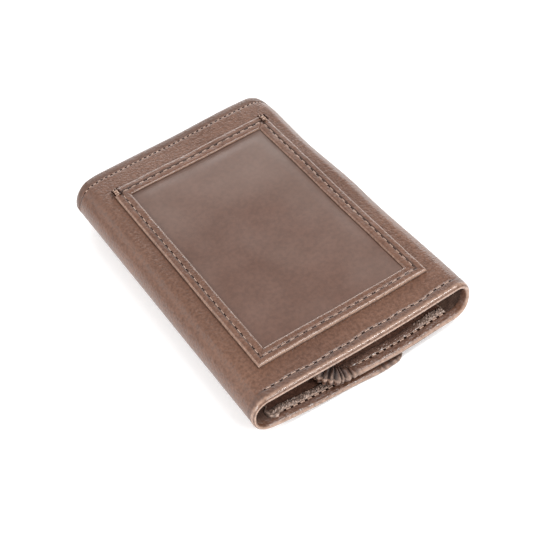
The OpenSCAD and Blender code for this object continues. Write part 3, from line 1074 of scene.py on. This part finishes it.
def id_film_piece():
    """The film lies under the band and swells a little in the window."""
    nx, ny = 76, 104
    gx, gy = np.meshgrid(np.linspace(FILM_LOW[0], FILM_HIGH[0], nx),
                         np.linspace(FILM_LOW[1], FILM_HIGH[1], ny), indexing="ij")
    side = np.minimum(gx - FRAME_LOW[0], FRAME_HIGH[0] - gx) - BAND
    end = np.minimum(gy - FRAME_LOW[1], FRAME_HIGH[1] - gy) - BAND
    inside = smooth(-0.3, 5.0, side) * smooth(-0.3, 5.0, end)
    film_t = FILM_HIGH[2] - FILM_LOW[2]
    low = FILM_LOW[2] + inside * (0.28 + 0.10 * waves(gx, gy, 26, 9))
    verts = [np.stack(skewed(gx, gy, z), -1).reshape(-1, 3) for z in (low + film_t, low)]
    base, faces = nx * ny, sheet_faces(nx, ny)
    numbers = np.arange(base).reshape(nx, ny)
    rim = np.concatenate([numbers[:-1, 0], numbers[-1, :-1], numbers[:0:-1, -1], numbers[0, :0:-1]])
    faces += [(a, b, base + b, base + a) for a, b in zip(rim, np.roll(rim, -1))]
    # painted sheen: the film is painted greyer towards the far end and the right, over a little
    # random haze
    haze_and_sheen_amount = 0.20 * smooth(-10, 45, gy) + 0.10 * smooth(5, 25, gx) + 0.05 * waves(gx, gy, 30, 13)
    haze_and_sheen = np.tile(np.clip(haze_and_sheen_amount, 0, 1).ravel(), 2)
    film = finish_mesh("id_film", np.concatenate(verts), faces, [FILM], attributes={"haze_and_sheen": haze_and_sheen})
    attach(film, "center_panel", ["id_window"])


id_frame_piece()
id_film_piece()


def sew_flat(name, spans, radius, node):
    """Stitches on top of the frame, between points of the frame before it is skewed."""
    ends = [(skewed(*p), skewed(*q), (0, 0, 1)) for p, q in spans]
    stitch_row(name, ends, radius, "center_panel", [node])


def id_stitches():
    """The row round the frame, and the zigzag tacks at both ends of its open side."""
    z = FRAME_HIGH[2] - ID_GROOVE
    x0, y0 = FRAME_LOW[0] + ID_ROW, FRAME_LOW[1] + ID_ROW
    x1, y1 = FRAME_HIGH[0] - ID_ROW, FRAME_HIGH[1] - ID_ROW
    flat = []
    for y in (y0, y1):
        flat += [((a, y, z), (b, y, z)) for a, b in dashes(x0, x1, ID_PITCH, ID_STITCH)]
    for x in (x0, x1):
        flat += [((x, a, z), (x, b, z)) for a, b in dashes(y0 + 0.6, y1 - 0.6, ID_PITCH, ID_STITCH)]
    sew_flat("id_frame_thread", flat, THREAD_R, "id_frame_stitching")
    tacks = []
    z = FRAME_HIGH[2] + 0.02
    for x, way in ((FRAME_LOW[0] + 1.1, 1), (FRAME_HIGH[0] - 1.1, -1)):
        for i in range(6):
            y = FRAME_HIGH[1] - 0.5 - 0.5 * i
            slant = 0.35 * (-1) ** i
            tacks.append(((x - 0.85 * way, y, z), (x + 0.95 * way, y + slant, z)))
        tacks.append(((x + 0.2 * way, FRAME_HIGH[1] - 0.6, z + 0.15),
                      (x + 0.5 * way, FRAME_HIGH[1] - 3.2, z + 0.15)))
    sew_flat("id_tack_thread", tacks, THICK_R, "id_bar_tacks")


id_stitches()


def centre_rows():
    """The rows along both ends of the centre panel."""
    s0, s1 = MARK["left_high"] - 0.5, MARK["right_high"] + 1.0

    def centre_face(s, y):
        return -float(centre_relief(np.array(s), np.array(y), 0, 1))

    open_row = [((a, float(open_row_y(a))), (b, float(open_row_y(b))))
                for a, b in dashes(s0, s1, 3.0, 2.1)]
    y = Y_FAR - FAR_ROW
    far_row = [((a, y), (b, y)) for a, b in dashes(s0 - 3, s1, 1.9, 1.25)]
    # the ends of both rows run on to the folds, as pieces of their own
    flat_low = MARK["left_high"] + 1.0
    flat_high = MARK["right_high"] - 4.0
    for row, spans, radius in (("open_end", open_row, THREAD_R), ("far_end", far_row, THICK_R)):
        stretches = [
            ("", "center_panel", flat_low, flat_high, [f"{row}_stitching"]),
            ("_left", "left_upper", MARK["left_mid"], flat_low, []),
            ("_right", "right_upper", flat_high, MARK["right_mid"], []),
        ]
        for suffix, body, low, high, nodes in stretches:
            here = [span for span in spans if low <= span[0][0] < high]
            sewn_along_path(f"{row}_thread{suffix}", here, centre_face, 1, radius, body, nodes)


def wing_rows():
    """The rows along the wings' open end."""
    y = Y_NEAR + WING_ROW
    for wing, low, high in (
            ("outer_wing", MARK["outer_free"] + 4.5, OUTER_FOLD - 0.5),
            ("inner_wing", INNER_FOLD + 0.5, MARK["inner_free"] - CORNERS["inner_free"])):
        spans = [((a, y), (b, y)) for a, b in dashes(low, high, 2.6, 1.8)]
        sewn_along_path(f"{wing}_thread", spans, lambda s, y: WING_HEM_DEPTH - 0.05, -1,
                        WING_THREAD_R, wing, [f"{wing}_stitching"], proud=0.30)


def pocket_rows():
    """The rows that close the sides of each stack of pockets."""
    stacks = {
        "center": (CENTRE_LEFT + 1.6, CENTRE_RIGHT - 1.6, "center_panel"),
        "outer_wing": (MARK["outer_free"] + 5, OUTER_FOLD - 1.6, "outer_wing"),
        "inner_wing": (INNER_FOLD + 1.6, MARK["inner_free"] - 5, "inner_wing"),
    }
    for name, (sa, sb, body) in stacks.items():
        low, high = box_mm(f"{name}_pocket_front")
        if name == "center":
            depth = TOP_Z - low[2]
        else:
            depth = low[2] - (INNER_Z if name == "inner_wing" else 0) + CARD
        spans = []
        last = min(high[1], Y_FAR - 3) - 2
        for s in (sa, sb):
            spans += [((s, a), (s, b)) for a, b in dashes(low[1] + 3, last, 3.0, 2.0)]
        sewn_along_path(f"{name}_pocket_thread", spans, lambda s, y: depth, -1, THREAD_R, body,
                        [f"{name}_pocket_stitching"], proud=0.2)


centre_rows()
wing_rows()
pocket_rows()


# -------- camera, lights and floor
def camera():
    """The photo's view: from the front left and above, with a small roll."""
    azimuth, elevation, roll = (math.radians(angle) for angle in (-29.59, 49.63, 5.44))
    aim = Vector((-7.1, -17.8, FRAME_HIGH[2])) * MM
    distance = 433.7 * MM
    data = bpy.data.cameras.new("camera")
    data.lens = 91.1
    data.clip_start, data.clip_end = 0.01, 10
    obj = bpy.data.objects.new("camera", data)
    obj.matrix_world = (Matrix.Translation(aim) @ Matrix.Rotation(azimuth, 4, "Z")
                        @ Matrix.Rotation(math.pi / 2 - elevation, 4, "X")
                        @ Matrix.Rotation(-roll, 4, "Z") @ Matrix.Translation((0, 0, distance)))
    scene.collection.objects.link(obj)
    scene.camera = obj


def area_light(name, spot_mm, size, power):
    """A rectangular light that points at the middle of the wallet."""
    data = bpy.data.lights.new(name, "AREA")
    data.shape = "RECTANGLE"
    data.size, data.size_y = size[0] * MM, size[1] * MM
    data.energy = power
    obj = bpy.data.objects.new(name, data)
    spot, target = Vector(spot_mm) * MM, Vector((0, 0, 10)) * MM
    turn = (target - spot).to_track_quat("-Z", "Y").to_matrix().to_4x4()
    obj.matrix_world = Matrix.Translation(spot) @ turn
    scene.collection.objects.link(obj)


def studio():
    """A white floor, a pale world and six soft lights, the brightest at the right."""
    white = Look("floor").surface({"Base Color": (0.93, 0.93, 0.93, 1), "Roughness": 0.9,
                                   "Emission Color": (1, 1, 1, 1), "Emission Strength": 0.22})
    half = 4000
    corners = [(-half, -half, 0), (half, -half, 0), (half, half, 0), (-half, half, 0)]
    floor = finish_mesh("floor", corners, [(0, 1, 2, 3)], [white], weld=False)
    world = bpy.data.worlds.new("studio")
    world.use_nodes = True
    background = world.node_tree.nodes["Background"]
    background.inputs["Color"].default_value = (1, 1, 1, 1)
    background.inputs["Strength"].default_value = 0.58
    scene.world = world
    area_light("key_right", (250, -200, 560), (130, 130), 2.0)
    area_light("front", (60, -430, 360), (160, 160), 1.0)
    area_light("back", (220, 500, 190), (340, 160), 1.1)
    area_light("right_back", (430, 330, 130), (350, 200), 0.9)
    area_light("back_left", (-300, 330, 380), (300, 300), 0.6)
    area_light("left", (-440, -90, 190), (320, 220), 1.4)
    scene.view_settings.view_transform = "Standard"


camera()
studio()
